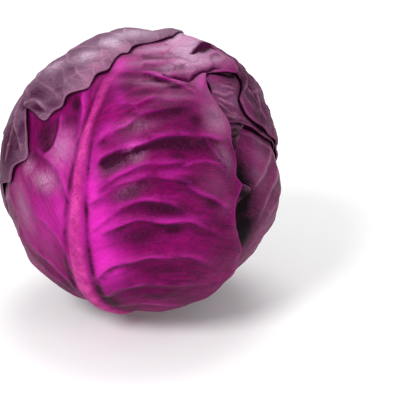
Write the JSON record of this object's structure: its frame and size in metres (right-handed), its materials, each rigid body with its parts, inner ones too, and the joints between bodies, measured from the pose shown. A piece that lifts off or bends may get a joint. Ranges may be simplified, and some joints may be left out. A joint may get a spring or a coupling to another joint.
{
  "type": "red cabbage",
  "caption": "Whole head of red cabbage, a ball of overlapping ribbed leaves on a flat-cut stem, for kitchen and market scenes.",
  "frame": {"origin": "middle of the stem's flat cut face, on which the head stands", "axes": "+Z from the cut stem up to the crown, -Y towards the front leaf, +X to the right of that front"},
  "size_m": [0.1613, 0.1612, 0.1626],
  "materials": {
    "stem": "cut flesh, cream, with a drier rim",
    "packed_leaf": "satin leaf, dark purple",
    "side_leaf": "satin leaf, purple with pale veins",
    "shoulder_leaf": "dull leaf, mauve with a grey bloom",
    "front_leaf": "glossy leaf, vivid magenta with a pink midrib",
    "crown_leaf": "matt leaf under a dusty grey-mauve bloom"
  },
  "bodies": {
    "root": {"stem": "stem", "dense_head": "packed_leaf", "leaf_right": "side_leaf", "leaf_inner_front": "side_leaf", "leaf_back": "side_leaf", "leaf_shoulder": "shoulder_leaf", "leaf_far_right": "shoulder_leaf", "leaf_left": "side_leaf", "leaf_front": "front_leaf", "leaf_crown": "crown_leaf"}
  },
  "joints": []
}
